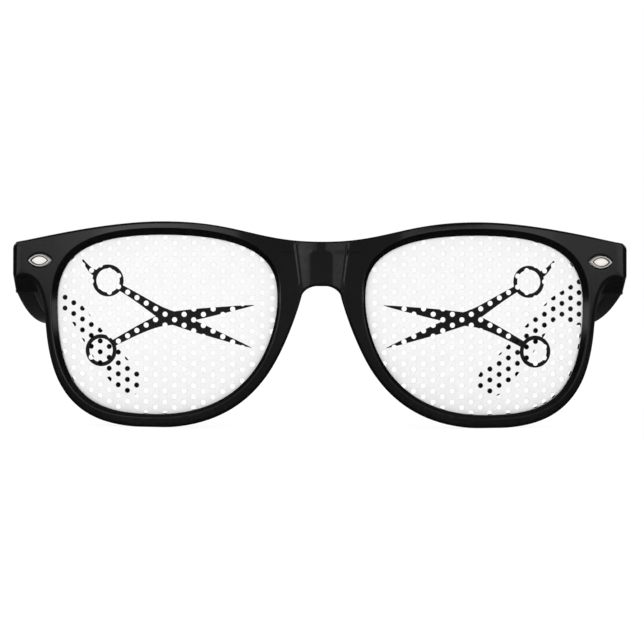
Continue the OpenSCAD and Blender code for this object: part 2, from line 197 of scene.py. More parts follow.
def smooth(t):
    """An eased step: 0 up to t = 0, 1 from t = 1 on."""
    t = np.clip(t, 0, 1)
    return t * t * (3 - 2 * t)


def within(points, loop):
    """Which points lie inside a closed loop."""
    x, z = points[:, 0][:, None], points[:, 1][:, None]
    a, b = loop, np.roll(loop, -1, 0)
    crosses = (a[:, 1] > z) != (b[:, 1] > z)
    rise = np.where(b[:, 1] == a[:, 1], 1, b[:, 1] - a[:, 1])
    at = a[:, 0] + (z - a[:, 1]) / rise * (b[:, 0] - a[:, 0])
    return (crosses & (x < at)).sum(1) % 2 == 1


def triangles(loops, extra=()):
    """Triangulates the plane between closed loops.

    Returns the points, the triangles and the number of each point that was given.
    """
    points = np.concatenate([*loops, np.reshape(extra, (-1, 2))])
    edges = []
    start = 0
    for loop in loops:
        n = len(loop)
        edges += [(start + i, start + (i + 1) % n) for i in range(n)]
        start += n
    found = delaunay_2d_cdt([Vector(p) for p in points], edges, [], 0, SAME_POINT, True)
    verts, _, faces, sources, _, _ = found
    number = np.full(len(points), -1)
    for new, old in enumerate(sources):
        number[list(old)] = new
    return np.array([list(v) for v in verts]), np.array(faces), number


# Outlines of the front

# The lens opening's highest, lowest, innermost and outermost point
CROWN = np.array([BRIDGE_GAP / 2 + 0.52 * LENS_W, LENS_TOP])
KEEL = np.array([BRIDGE_GAP / 2 + 0.545 * LENS_W, LENS_LOW])
NOSE = np.array([BRIDGE_GAP / 2, LENS_LOW + 0.635 * LENS_H])
EAR = np.array([LENS_EAR, LENS_LOW + 0.62 * LENS_H])


def quarter(level, upright, level_full, upright_full, back=False):
    """A quarter of the lens outline between a level point and an upright one."""
    near_level = [level[0] + level_full * (upright[0] - level[0]), level[1]]
    near_upright = [upright[0], upright[1] + upright_full * (level[1] - upright[1])]
    points = [level, near_level, near_upright, upright]
    return cubic(*(points[::-1] if back else points), QUARTER_N)


def lens_outline():
    """The edge of a lens opening. The shares tell how full each quarter is."""
    lower = [quarter(KEEL, NOSE, 0.91, 0.16, back=True), quarter(KEEL, EAR, 0.52, 0.94)]
    upper = [quarter(CROWN, EAR, 0.68, 0.74, back=True), quarter(CROWN, NOSE, 0.99, 0.39)]
    return np.concatenate(lower + upper)


def front_half_outline(lens):
    """The front's outer edge on the left, from the nose arch round to the bridge's top.

    Returns the arch's flank too, which the nose pad follows.
    """
    rim = grown(lens, RIM_W)
    joins = [ARCH_JOIN_Z, END_JOIN_Z]
    lower = [
        [rim[i][0], max(rim[i][1], 0)]
        for i in range(1, 2 * QUARTER_N)
        if rim[i][1] < joins[i >= QUARTER_N]
    ]
    arch_start = np.array(lower[0])
    end_start = np.array(lower[-1])
    corner = np.array([ARCH_W / 2, ARCH_TOP - 2.2])
    flat = [0.11 * ARCH_W, ARCH_TOP]
    arch = cubic(flat, [0.28 * ARCH_W, ARCH_TOP], corner + [-0.32, 1.15], corner)
    flank = cubic(corner, corner + [0.95, -3.8], arch_start + [-4.4, 5.4], arch_start)
    under = cubic(end_start, end_start + [0.5, 6], [HALF_W - 6.6, END_LOW], [HALF_W - 3, END_LOW])
    low_corner = arc([HALF_W - LOW_CORNER_R, END_LOW + LOW_CORNER_R], LOW_CORNER_R, -90, 0)
    top_corner = arc([HALF_W - END_CORNER_R, END_TOP - END_CORNER_R], END_CORNER_R, 0, 80)
    crown = np.array([CROWN[0], RIM_TOP])
    brow_end = np.array([HALF_W - 3, END_TOP + 0.2])
    brow_lead = crown + [0.35 * (HALF_W - crown[0]), 0]
    brow = cubic(brow_end, brow_end + [-4.5, 0.75], brow_lead, crown, 3 * CURVE_N)
    saddle = [[0.514 * crown[0], RIM_TOP], [0.413 * crown[0], BRIDGE_TOP], [0, BRIDGE_TOP]]
    bridge = cubic(crown, *saddle, 3 * CURVE_N)
    parts = [[[0, ARCH_TOP]], arch, flank, lower, under, low_corner, top_corner, brow, bridge]
    return np.concatenate([*parts, [[0, BRIDGE_TOP]]]), flank


def wrap_y(x, depth):
    """How far back the wrap lies at x, for a layer so deep under the face."""
    return WRAP_R - np.sqrt((WRAP_R - depth) ** 2 - np.square(x))


def layer(points, depth):
    """Drawn points laid on the wrap, so deep under the face."""
    x, z = points[:, 0], points[:, 1]
    return np.stack([x, wrap_y(x, depth), z], 1)


# Materials

# Noise mostly lies between the first two. Between the second two, a tint goes from dark to light.
NOISE_LOW = 0.3
NOISE_HIGH = 0.7
DARK_AT = 0.35
LIGHT_AT = 0.65


def shader(name, **values):
    """A material with one Principled shader, its steady values set on its own sockets."""
    material = bpy.data.materials.new(name)
    material.use_nodes = True
    tree = material.node_tree
    for socket, value in values.items():
        tree.nodes["Principled BSDF"].inputs[socket.replace("_", " ")].default_value = value
    return material, tree


def noise(tree, scale, detail=3.0, stretch=(1, 1, 1)):
    """Noise in object coordinates, scale in features to the metre."""
    place = tree.nodes.new("ShaderNodeTexCoord")
    mapping = tree.nodes.new("ShaderNodeMapping")
    mapping.inputs["Scale"].default_value = stretch
    texture = tree.nodes.new("ShaderNodeTexNoise")
    texture.inputs["Scale"].default_value = scale
    texture.inputs["Detail"].default_value = detail
    tree.links.new(place.outputs["Object"], mapping.inputs["Vector"])
    tree.links.new(mapping.outputs["Vector"], texture.inputs["Vector"])
    return texture.outputs["Fac"]


def ranged(tree, source, start, end, low, high):
    """A node that goes from low to high while its source goes from start to end."""
    node = tree.nodes.new("ShaderNodeMapRange")
    for name, value in (("From Min", start), ("From Max", end), ("To Min", low), ("To Max", high)):
        node.inputs[name].default_value = value
    tree.links.new(source, node.inputs["Value"])
    return node


def spread(tree, source, low, high, socket):
    """Sends noise into a socket of the shader, spread between two values."""
    mapped = ranged(tree, source, NOISE_LOW, NOISE_HIGH, low, high)
    tree.links.new(mapped.outputs["Result"], tree.nodes["Principled BSDF"].inputs[socket])


def tint(tree, source, dark, light):
    """Sends noise into the base colour, between two colours."""
    ramp = tree.nodes.new("ShaderNodeValToRGB")
    for stop, place, colour in zip(ramp.color_ramp.elements, (DARK_AT, LIGHT_AT), (dark, light)):
        stop.position = place
        stop.color = (*colour, 1)
    tree.links.new(source, ramp.inputs["Fac"])
    tree.links.new(ramp.outputs["Color"], tree.nodes["Principled BSDF"].inputs["Base Color"])


def bump(tree, source, depth, strength):
    """Raises the surface by noise: depth in metres."""
    node = tree.nodes.new("ShaderNodeBump")
    node.inputs["Distance"].default_value = depth
    node.inputs["Strength"].default_value = strength
    tree.links.new(source, node.inputs["Height"])
    tree.links.new(node.outputs["Normal"], tree.nodes["Principled BSDF"].inputs["Normal"])


def speckled(name, colours, grain, roughness, fine_grain, detail=3.0, stretch=(1, 1, 1), **values):
    """A material whose colour and roughness vary with noise, each between two values."""
    material, tree = shader(name, **values)
    tint(tree, noise(tree, grain, detail, stretch), *colours)
    spread(tree, noise(tree, fine_grain, detail, stretch), *roughness, "Roughness")
    return material


def black_plastic():
    colours = (0.0015, 0.0016, 0.0017), (0.0026, 0.0027, 0.0029)
    material = speckled("black_plastic", colours, 60, (0.14, 0.18), 900, IOR=1.49)
    bump(material.node_tree, noise(material.node_tree, 450, 2.0), 0.00002, 0.25)
    return material


def film_white():
    colours = (0.9, 0.9, 0.9), (0.93, 0.93, 0.93)
    return speckled("film_white", colours, 350, (0.4, 0.55), 1500, IOR=1.45)


def film_hole_shade():
    """A faint grey ring round each hole in the film: painted shade from the hole's edge."""
    colours = (0.8, 0.8, 0.8), (0.86, 0.86, 0.86)
    return speckled("film_hole_shade", colours, 900, (0.5, 0.6), 1500, IOR=1.45)


def film_back():
    colours = (0.012, 0.012, 0.013), (0.02, 0.02, 0.021)
    return speckled("film_back", colours, 500, (0.5, 0.65), 1500, IOR=1.45)


def print_ink():
    colours = (0.005, 0.005, 0.005), (0.008, 0.008, 0.008)
    return speckled("print_ink", colours, 700, (0.4, 0.55), 1500, IOR=1.35)


def clear_plastic():
    """Its index is low, because these thin lenses show no gloss."""
    tinge = (0.98, 0.99, 0.99, 1)
    material, tree = shader("clear_plastic", IOR=1.06, Transmission_Weight=1.0, Base_Color=tinge)
    spread(tree, noise(tree, 200), 0.0, 0.03, "Roughness")
    return material


def bright_metal():
    colours = (0.88, 0.85, 0.81), (0.97, 0.95, 0.92)
    return speckled("bright_metal", colours, 800, (0.2, 0.28), 1600, Metallic=0.65)


def pearl_metal():
    """A stud's domed middle: pale satin plating."""
    colours = (0.93, 0.89, 0.83), (0.99, 0.96, 0.92)
    return speckled("pearl_metal", colours, 900, (0.28, 0.38), 1600, Metallic=0.1)


def groove_shade_metal():
    """Dark metal in a stud's groove: painted shade."""
    colours = (0.07, 0.065, 0.06), (0.2, 0.19, 0.17)
    return speckled("groove_shade_metal", colours, 1200, (0.4, 0.55), 1600, Metallic=0.9)


def hinge_steel():
    """Brushed steel, its grain drawn out along the hinge's height."""
    colours = (0.42, 0.42, 0.43), (0.6, 0.6, 0.6)
    return speckled("hinge_steel", colours, 600, (0.24, 0.42), 1200, 4.0, (1, 1, 6), Metallic=1.0)


PLASTIC = black_plastic()
WHITE = film_white()
HOLE_SHADE = film_hole_shade()
BACK = film_back()
INK = print_ink()
CLEAR = clear_plastic()
METAL = bright_metal()
PEARL = pearl_metal()
GROOVE_SHADE = groove_shade_metal()
STEEL = hinge_steel()


# Meshes

# Vertices of a finished mesh that are nearer to each other than this, in metres, become one
WELD_M = 1e-7


def mesh_object(name, points, faces, materials, numbers=None):
    """An object from points in millimetres. numbers gives each face's material."""
    metres = (np.array(points, float) + [0, FRONT_Y, 0]) * MM
    mesh = bpy.data.meshes.new(name)
    mesh.from_pydata(metres.tolist(), [], [list(map(int, f)) for f in faces])
    for material in materials:
        mesh.materials.append(material)
    if numbers is not None:
        mesh.polygons.foreach_set("material_index", np.array(numbers, np.int32))
    mesh.validate()
    piece = bpy.data.objects.new(name, mesh)
    bpy.context.scene.collection.objects.link(piece)
    return piece


def finish_piece(piece, body, slot, *nodes, sharp=32):
    """Shades a piece, ties it to its body and hides the CAD nodes that it stands for. slot is not used."""
    piece.data.shade_smooth()
    piece.data.set_sharp_from_angle(angle=math.radians(sharp))
    piece.modifiers.new("even_normals", "WEIGHTED_NORMAL").keep_sharp = True
    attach(piece, body)
    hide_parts(*nodes)


def outwards(piece):
    """Turns a piece's faces so that they all look outwards."""
    shape = bmesh.new()
    shape.from_mesh(piece.data)
    bmesh.ops.remove_doubles(shape, verts=shape.verts, dist=WELD_M)
    bmesh.ops.recalc_face_normals(shape, faces=shape.faces)
    shape.to_mesh(piece.data)
    shape.free()
    return piece


def carve(piece, tool, operation):
    """Joins a tool to a piece or cuts it out of the piece, and deletes the tool."""
    change = piece.modifiers.new("carve", "BOOLEAN")
    change.operation = operation
    change.solver = "EXACT"
    change.object = outwards(tool)
    shape = piece.evaluated_get(bpy.context.evaluated_depsgraph_get())
    mesh = bpy.data.meshes.new_from_object(shape)
    piece.modifiers.clear()
    piece.data = mesh
    bpy.data.objects.remove(tool)


def block(low, high):
    """A plain box between two corners, for carving."""
    xs, ys, zs = zip(low, high)
    corners = [(x, y, z) for x in xs for y in ys for z in zs]
    sides = [(0, 1, 3, 2), (4, 6, 7, 5), (0, 4, 5, 1), (2, 3, 7, 6), (0, 2, 6, 4), (1, 5, 7, 3)]
    return mesh_object("tool", corners, sides, [])


class Solid:
    """Collects the points and faces of a piece that is made of rings and of caps between them."""

    def __init__(self):
        self.points = []
        self.faces = []

    def add(self, points):
        """Adds points and returns their numbers."""
        start = len(self.points)
        self.points += [tuple(p) for p in points]
        return np.arange(start, len(self.points))

    def tube(self, rings, flip=False):
        """Bands of four-sided faces between each closed ring of numbers and the next."""
        for pair in zip(rings, rings[1:]):
            a, b = reversed(pair) if flip else pair
            n = len(a)
            self.faces += [(a[i], a[(i + 1) % n], b[(i + 1) % n], b[i]) for i in range(n)]

    def cap(self, rings, loops, lift, extra=(), flip=False):
        """A cap inside the first ring and outside the others. lift gives a drawn point its place."""
        points, faces, number = triangles(loops, extra)
        middle = points[faces].mean(1)
        keep = within(middle, loops[0])
        for loop in loops[1:]:
            keep &= ~within(middle, loop)
        to_solid = np.full(len(points), -1)
        start = 0
        for ring in rings:
            to_solid[number[start : start + len(ring)]] = ring
            start += len(ring)
        new = np.flatnonzero(to_solid < 0)
        to_solid[new] = self.add(lift(points[new]))
        kept = to_solid[faces[keep]]
        self.faces += [tuple(f[::-1]) if flip else tuple(f) for f in kept]


def closed_tool(solid, rings, side):
    """A tool for carving from rings and two end faces, placed on one side."""
    solid.tube(rings)
    solid.faces += [tuple(rings[0]), tuple(rings[-1][::-1])]
    return mesh_object("tool", np.array(solid.points) * [side, 1, 1], solid.faces, [PLASTIC])


def rounded_edge(radius, steps):
    """Pairs of inset and depth along a quarter round, from the face to the side."""
    angles = np.linspace(0, math.pi / 2, steps + 1)
    return [(radius * (1 - np.sin(a)), radius * (1 - np.cos(a))) for a in angles]


# The front

LENS = lens_outline()
HALF_OUTLINE, FLANK = front_half_outline(LENS)
OUTLINE = tidied(np.concatenate([HALF_OUTLINE, flipped(HALF_OUTLINE)]))
# The bevel is wide over a lens and on its ear side, and narrow under it and on its nose side
QUARTERS = np.arange(len(LENS)) / QUARTER_N
BEVEL_WIDTHS = BEVEL_LOW_W + (BEVEL_W - BEVEL_LOW_W) * (smooth(QUARTERS - 1) - smooth(QUARTERS - 3))

# The bridge's keystone panel: half its width at the top edge and at the arch. Its flat core ends where
# two facets begin that fall back to a steep edge; the core narrows under the top edge.
PANEL_TOP = 6.5
PANEL_FOOT = 5.1
CORE_HALF = 2.35
CORE_TOP_HALF = 0.5
CORE_NARROW = 2.7
CORE_NARROW_H = 0.7
FACET_SLOPE = 0.13
EDGE_SLOPE = 0.24
# Shares of the panel's half width at which its facets end and its steep edges begin
FACET_TO = 0.87
EDGE_AT = 0.94
# How softly the face turns into a facet and into an edge
CORE_TURN = 0.025
EDGE_TURN = 0.012
# The fall dies away from a share of the half width out to a distance, and under the arch's top
FADE_FROM = 1.15
PANEL_FADE = 19.0
FADE_UNDER = 8
FADE_UNDER_H = 6
# Near its outer side, an end piece's face turns back little by little
SIDE_SOFT_W = 2.3
SIDE_SLOPE = 0.22
# The front edge's radius, and what it gains at an end piece's side, at that side's middle and at the foot
EDGE_R = 0.45
SIDE_GAIN = 0.5
MIDDLE_GAIN = 0.5
FOOT_GAIN = 0.85
# It softens from this far inside the end piece's side, over such a stretch
SIDE_IN = 1.6
SIDE_STRETCH = 1.4
BACK_EDGE_R = 0.35
# The bevel's soft start on the face, and what it gains where the bevel is wide
BEVEL_SOFT_R = 0.45
BEVEL_SOFT_GAIN = 0.2
# The lens opening's edge at the back
WALL_R = 0.25
# A stud's seat: how much larger it is than the stud all round, and its soft edge
SEAT_GAP = 0.25
SEAT_EDGE_R = 0.18
# Loops of points that keep the shading even run this far inside an edge, and round a seat
SUPPORT_GAP = 0.3
SEAT_SUPPORT = 0.75
# Grids of points inside the face, the back and a temple's sides: their step and their margin
FACE_GRID = (1.1, 0.75)
BACK_GRID = (1.5, 0.6)
TEMPLE_GRID = (2.0, 0.9)
# The face's points keep this far from every edge. The bridge has its own, out to so many half widths.
LEAST_GAP = 0.25
BRIDGE_SPAN = 1.7
# Height of a row in a triangular grid, as a share of its step
ROW_SHARE = 0.87


def panel_half(z):
    return PANEL_FOOT + (PANEL_TOP - PANEL_FOOT) * (z - ARCH_TOP) / BRIDGE_H


def ramp(t, width):
    """Nothing below zero and t above it, with a turn of some width between them."""
    return width * np.logaddexp(0, t / width)


def panel_fall(x, z):
    """How far the bridge's face falls back at a place, in and near the keystone panel."""
    half = panel_half(z)
    share = np.abs(x) / half
    core = CORE_HALF + (CORE_TOP_HALF - CORE_HALF) * smooth((z - BRIDGE_TOP + CORE_NARROW) / CORE_NARROW_H)
    facet = ramp(share - core / half, CORE_TURN) - ramp(share - FACET_TO, EDGE_TURN)
    edge = ramp(share - EDGE_AT, EDGE_TURN) - ramp(share - 1, EDGE_TURN)
    fall = half * (FACET_SLOPE * facet + EDGE_SLOPE * edge)
    side = FADE_FROM * half
    fade = 1 - smooth((np.abs(x) - side) / (PANEL_FADE - side))
    high = smooth((z - ARCH_TOP + FADE_UNDER) / FADE_UNDER_H)
    return fall * fade * high


def end_fall(x):
    """How far an end piece's face falls back towards its outer side."""
    near = np.maximum(SIDE_SOFT_W - (HALF_W - np.abs(x)), 0)
    return SIDE_SLOPE * near**2 / (2 * SIDE_SOFT_W)


def front_round(loop):
    """The front edge's radius at each outline point: softer round an end piece's side and foot."""
    x = np.abs(loop[:, 0])
    z = loop[:, 1]
    side = smooth((x - (HALF_W - SIDE_IN)) / SIDE_STRETCH)
    middle = smooth(1.5 - np.abs(z - (END_TOP + END_LOW) / 2) / 2.6)
    past_rim = smooth((x - (HALF_W - 12)) / 4)
    near_foot = smooth(END_LOW + 1.2 - z)
    short_of_side = smooth(HALF_W - 0.7 - x)
    foot = past_rim * near_foot * short_of_side
    return EDGE_R + side * (SIDE_GAIN + MIDDLE_GAIN * middle) + foot * FOOT_GAIN


def bridge_points():
    """Points inside the bridge's face, in rows that follow the panel's facets, dense at each turn."""
    core = [0, 0.25, 0.5, 0.75, 1.1, 1.6, 2.1, 2.25, 2.35, 2.45, 2.6]
    shares = [0.5, 0.6, 0.7, 0.8, 0.84, 0.86, 0.87, 0.88, 0.905, 0.925, 0.94, 0.955, 0.97, 0.985]
    shares += [1.0, 1.015, 1.03, 1.07, 1.15, 1.3, 1.5]
    rows = np.arange(ARCH_TOP + 0.9, BRIDGE_TOP - 0.7, 0.4)
    places = [(x, z) for z in rows for x in core + [s * panel_half(z) for s in shares]]
    return np.array(places + [(-x, z) for x, z in places if x])


def clear_of(points, loop, margin):
    """Which points keep further from a loop's points than a margin."""
    return np.linalg.norm(points[:, None] - loop[None], axis=2).min(1) > margin


def face_grid(loops, step, margin):
    """A triangular grid of points inside the first loop, clear of every loop by a margin."""
    low, high = loops[0].min(0), loops[0].max(0)
    rows = int((high[1] - low[1]) / (ROW_SHARE * step))
    found = []
    for r in range(rows + 1):
        xs = np.arange(low[0] + (r % 2) * step / 2, high[0], step)
        found.append(np.stack([xs, np.full(len(xs), low[1] + r * ROW_SHARE * step)], 1))
    points = np.concatenate(found)
    keep = within(points, loops[0])
    for loop in loops[1:]:
        keep &= ~within(points, loop)
    points = points[keep]
    for loop in loops:
        points = points[clear_of(points, loop, margin)]
    return points


def pointed_oval(long, high, n=24):
    """A pointed oval, anticlockwise from its right-hand point."""
    r = (long * long + high * high) / (4 * high)
    half = math.degrees(math.asin(long / 2 / r))
    top = arc([0, high / 2 - r], r, 90 - half, 90 + half, n)[:-1]
    foot = arc([0, r - high / 2], r, 270 - half, 270 + half, n)[:-1]
    return np.concatenate([top, foot])


STUD_TILT = math.asin(STUD_X / WRAP_R)


def on_face(loop, side):
    """A loop drawn square to the face at a stud, seen straight from the front."""
    seen = loop * [math.cos(STUD_TILT), 1] + [STUD_X, STUD_Z]
    return seen if side > 0 else flipped(seen)


def front_shell():
    """Both rims, the bridge and the end pieces, as one closed wrapped solid with open lens holes."""
    solid = Solid()

    def skin(points, depth=0.0):
        """A layer that follows the face's facets, less and less with its depth."""
        x, z = points[:, 0], points[:, 1]
        fall = (panel_fall(x, z) + end_fall(x)) * np.clip(1 - depth / BEVEL_D, 0, 1)
        return layer(points, depth + fall)

    # The outer edge: rounded in front, straight, rounded behind
    radius = front_round(OUTLINE)
    rings = []
    for share, fall in rounded_edge(1.0, 7):
        loop = grown(OUTLINE, -radius * share)
        x, z = loop[:, 0], loop[:, 1]
        depth = radius * fall + panel_fall(x, z) + end_fall(x)
        rings.append(solid.add(layer(loop, depth)))
    for inset, rise in reversed(rounded_edge(BACK_EDGE_R, 3)):
        rings.append(solid.add(layer(grown(OUTLINE, -inset), FRONT_T - rise)))
    solid.tube(rings)

    # Each lens opening: the bevel, the groove and the straight wall behind it
    steep = math.atan2(BEVEL_D, BEVEL_W)
    soft = BEVEL_SOFT_R + BEVEL_SOFT_GAIN * (BEVEL_WIDTHS - BEVEL_LOW_W) / (BEVEL_W - BEVEL_LOW_W)
    start = BEVEL_WIDTHS + soft * math.tan(steep / 2)
    depths = BEVEL_WIDTHS * BEVEL_D / BEVEL_W
    support = [grown(OUTLINE, -radius - SUPPORT_GAP)]
    front_rings, front_loops = [rings[0]], [grown(OUTLINE, -radius)]
    back_rings, back_loops = [rings[-1]], [grown(OUTLINE, -BACK_EDGE_R)]
    for side in SIDES.values():
        lens = LENS if side > 0 else flipped(LENS)
        turns = np.linspace(0, steep, 9)
        path = [(start - soft * math.sin(a), soft * (1 - math.cos(a))) for a in turns]
        path += [(0.04 * BEVEL_WIDTHS, 0.97 * depths), (0.0, depths + 0.02), (0.0, FILM_IN - FIT)]
        path += [(GROOVE_D, FILM_IN - FIT), (GROOVE_D, GROOVE_TO), (0.0, GROOVE_TO)]
        path += [(0.0, FRONT_T - WALL_R), (0.07, FRONT_T - 0.07), (WALL_R, FRONT_T)]
        if side < 0:
            path = [tuple(v[::-1] if np.ndim(v) else v for v in step) for step in path]
        loops = [grown(lens, grow) for grow, _ in path]
        made = [solid.add(skin(loop, depth)) for loop, (_, depth) in zip(loops, path)]
        solid.tube(made, flip=True)
        support.append(grown(lens, path[0][0] + SUPPORT_GAP))
        front_rings.append(made[0])
        front_loops.append(loops[0])
        back_rings.append(made[-1])
        back_loops.append(loops[-1])

    # The studs' seats, sunk in the end pieces
    for side in SIDES.values():
        path = [(SEAT_GAP + grow, depth) for grow, depth in rounded_edge(SEAT_EDGE_R, 5)]
        path.append((SEAT_GAP, STUD_SEAT_D + FIT))
        loops = [on_face(grown(pointed_oval(STUD_L, STUD_H), g), side) for g, _ in path]
        made = [solid.add(layer(loop, depth)) for loop, (_, depth) in zip(loops, path)]
        solid.tube(made, flip=True)
        solid.cap([made[-1]], [loops[-1]], lambda p: layer(p, STUD_SEAT_D + FIT))
        support.append(on_face(grown(pointed_oval(STUD_L, STUD_H), SEAT_SUPPORT), side))
        front_rings.append(made[0])
        front_loops.append(loops[0])

    # The face between those edges, with its own points on the bridge
    grid = face_grid(front_loops, *FACE_GRID)
    in_bridge = (np.abs(grid[:, 0]) < BRIDGE_SPAN * panel_half(grid[:, 1])) & (grid[:, 1] > ARCH_TOP)
    inner = np.concatenate([grid[~in_bridge], bridge_points()])
    inside = within(inner, front_loops[0])
    for loop in front_loops + support:
        inside &= clear_of(inner, loop, LEAST_GAP)
    solid.cap(front_rings, front_loops, skin, np.concatenate([inner[inside], *support]))
    back_grid = face_grid(back_loops, *BACK_GRID)
    solid.cap(back_rings, back_loops, lambda p: layer(p, FRONT_T), back_grid, flip=True)
    return mesh_object("front", solid.points, solid.faces, [PLASTIC])


def end_lug(side):
    """The end piece's block behind the rim, turned back to meet the temple, its underside falling."""
    foot = END_TOP - TEMPLE_H
    low = arc([HALF_W - LOW_CORNER_R, LOW_CORNER_R], LOW_CORNER_R, -90, 0, 8) - [HAIR, 0]
    top = arc([HALF_W - END_CORNER_R, -END_CORNER_R], END_CORNER_R, 0, 90, 10) - HAIR
    section = np.concatenate([[[LUG_IN_X, 0]], low, top, [[LUG_IN_X, -HAIR]]])
    at_top = np.arange(len(section)) > len(low)
    solid = Solid()
    rings = []
    # It starts inside the front: behind the groove near the lens, and close under the face further out
    x = section[:, 0]
    from_y = wrap_y(x, 0) + np.where(x < LENS_EAR + GROOVE_D + 0.2, GROOVE_TO + 0.5, 0.9)
    # Each ring's share of the way back, and its inset, which rounds the end that meets the temple
    for share, inset in [(0, 0), (0.3, 0), (0.6, 0), (0.965, 0), (0.99, 0.07), (1, 0.25)]:
        y = from_y + (BUTT_Y - from_y) * share
        base = END_LOW + LUG_UP + (foot - END_LOW - LUG_UP) * share
        placed = grown(np.stack([x, section[:, 1] + np.where(at_top, END_TOP, base)], 1), -inset)
        rings.append(solid.add(np.stack([placed[:, 0], y, placed[:, 1]], 1)))
    return closed_tool(solid, rings, side)


def nose_pad(side):
    """A pad that swells backwards along the arch's flank."""
    solid = Solid()
    middle = ARCH_JOIN_Z + 0.55 * PAD_H
    rows = FLANK[np.abs(FLANK[:, 1] - middle) < PAD_H / 2 + 0.4]
    start = FRONT_T / 2
    half = PAD_W / 2
    rings = []
    turns = np.radians(np.linspace(0, 180, 15))
    for x, z in rows[::-1]:
        along = np.clip((z - middle) / (PAD_H / 2 + 0.5), -0.98, 0.98)
        reach = FRONT_T - start + PAD_D * math.sqrt(1 - along**2)
        back = wrap_y(x, 0) + start
        # A power under 1 makes the dome's section fuller than round
        dome = [(x + half - half * math.cos(t), back + reach * math.sin(t) ** 0.7, z) for t in turns]
        rings.append(solid.add(dome))
    return closed_tool(solid, rings, side)


def make_front():
    piece = outwards(front_shell())
    for side in SIDES.values():
        carve(piece, end_lug(side), "UNION")
        carve(piece, nose_pad(side), "UNION")
    for name in SIDES:
        low, high = box_mm(f"front_hinge_{name}")
        low = low - [FIT, FRONT_Y + FIT, FIT]
        high = high + [FIT, -FRONT_Y + OVERCUT, FIT]
        carve(piece, block(low, high), "DIFFERENCE")
    finish_piece(piece, "front", "frame_plastic", "front_frame")


# The temples

def temple_outline():
    """A temple seen from its side: distance behind its butt end, height."""
    tip_r = TIP_H / 2
    tip = np.array([REACH - tip_r, tip_r - FLOOR_TRIM])
    hook_along = np.array([math.cos(HOOK_SLOPE), -math.sin(HOOK_SLOPE)])
    hook_up = np.array([math.sin(HOOK_SLOPE), math.cos(HOOK_SLOPE)])
    shaft_along = np.array([math.cos(SHAFT_SLOPE), -math.sin(SHAFT_SLOPE)])
    waist_top = np.array([WAIST_S, END_TOP - WAIST_S * math.tan(SHAFT_SLOPE)])
    belly_s = SWEEP_S - 3
    belly = np.array([belly_s, END_TOP - belly_s * math.tan(SHAFT_SLOPE) - SHAFT_H])
    waist_low = np.array([WAIST_S + 3, waist_top[1] - WAIST_H])
    foot = np.array([0, END_TOP - TEMPLE_H])
    tip_low = tip - tip_r * hook_up
    tip_top = tip + tip_r * hook_up
    slope = math.degrees(HOOK_SLOPE)
    end = arc(tip, tip_r, -90 - slope, 90 - slope, 2 * CURVE_N)
    end[:, 1] = np.maximum(end[:, 1], 0)
    hook = cubic(waist_top, waist_top + 14 * shaft_along, tip_top - 14 * hook_along, tip_top)
    shaft = np.linspace([0, END_TOP], waist_top, 2 * CURVE_N, endpoint=False)
    parts = [
        [foot],
        cubic(foot + [0.2, -0.06], foot + [9, -2.7], belly - [28, -1], belly, 2 * CURVE_N),
        cubic(belly, belly + [9, -0.6], waist_low - [11, 0], waist_low),
        cubic(waist_low, waist_low + [10, 0], tip_low - 16 * hook_along, tip_low, 2 * CURVE_N),
        end,
        hook[::-1],
        shaft[::-1],
    ]
    return tidied(np.concatenate(parts))


def outer_x(s):
    """How far out a temple's outer side lies, so far behind its butt end. It sweeps inwards."""
    past = np.maximum(s - SWEEP_S, 0)
    return HALF_W - (SWEEP_R - np.sqrt(SWEEP_R**2 - past**2))


def thickness(s):
    return TEMPLE_T + (TIP_T - TEMPLE_T) * s / REACH


def make_temple(name, side):
    outline = temple_outline()
    at_butt = smooth(1 - outline[:, 0] / BUTT_STRETCH)
    radius = TEMPLE_EDGE_R - (TEMPLE_EDGE_R - BUTT_EDGE_R) * at_butt
    solid = Solid()

    def outside(points, depth):
        s, z = points[:, 0], points[:, 1]
        return np.stack([side * (outer_x(s) - depth), TEMPLE_Y + s, z], 1)

    def inside(points, depth):
        s, z = points[:, 0], points[:, 1]
        return np.stack([side * (outer_x(s) - thickness(s) + depth), TEMPLE_Y + s, z], 1)

    edge = rounded_edge(1.0, 6)
    loops = [grown(outline, -radius * share) for share, _ in edge]
    falls = [radius * fall for _, fall in edge]
    rings = [solid.add(outside(loop, fall)) for loop, fall in zip(loops, falls)]
    rings += [solid.add(inside(loop, fall)) for loop, fall in zip(loops[::-1], falls[::-1])]
    solid.tube(rings)
    grid = face_grid([loops[0]], *TEMPLE_GRID)
    solid.cap([rings[0]], [loops[0]], lambda p: outside(p, 0), grid)
    solid.cap([rings[-1]], [loops[0]], lambda p: inside(p, 0), grid, flip=True)
    piece = outwards(mesh_object(f"arm_{name}", solid.points, solid.faces, [PLASTIC]))
    # The hinge leaf's bed, open to the temple's inner side and butt end
    leaf_low, leaf_high = box_mm(f"temple_hinge_{name}")
    leaf_out = max(abs(leaf_low[0]), abs(leaf_high[0])) + FIT
    xs = sorted([side * (HALF_W - TEMPLE_T - OVERCUT), side * leaf_out])
    bed_low = [xs[0], TEMPLE_Y - OVERCUT, leaf_low[2] - FIT]
    bed_high = [xs[1], leaf_high[1] - FRONT_Y + FIT, leaf_high[2] + FIT]
    carve(piece, block(bed_low, bed_high), "DIFFERENCE")
    finish_piece(piece, f"{name}_arm", "frame_plastic", f"temple_{name}")


# The studs

# A stud's section from its edge to its middle, as inset and height over the face
STUD_RIM = [(0.0, -STUD_SEAT_D), (0.0, 0.26), (0.05, 0.38), (0.13, 0.44), (0.23, 0.45), (0.32, 0.4)]
STUD_GROOVE = [(0.38, 0.28), (0.46, 0.24), (0.54, 0.3)]
STUD_DOME = [(0.68, 0.4), (0.85, 0.47), (1.05, 0.52), (1.25, 0.54)]
DOME_TOP = 0.55
STUD_ARC_N = 40
# An inset takes a little less off the length than its share, so that the points stay long
POINT_SHARE = 0.93


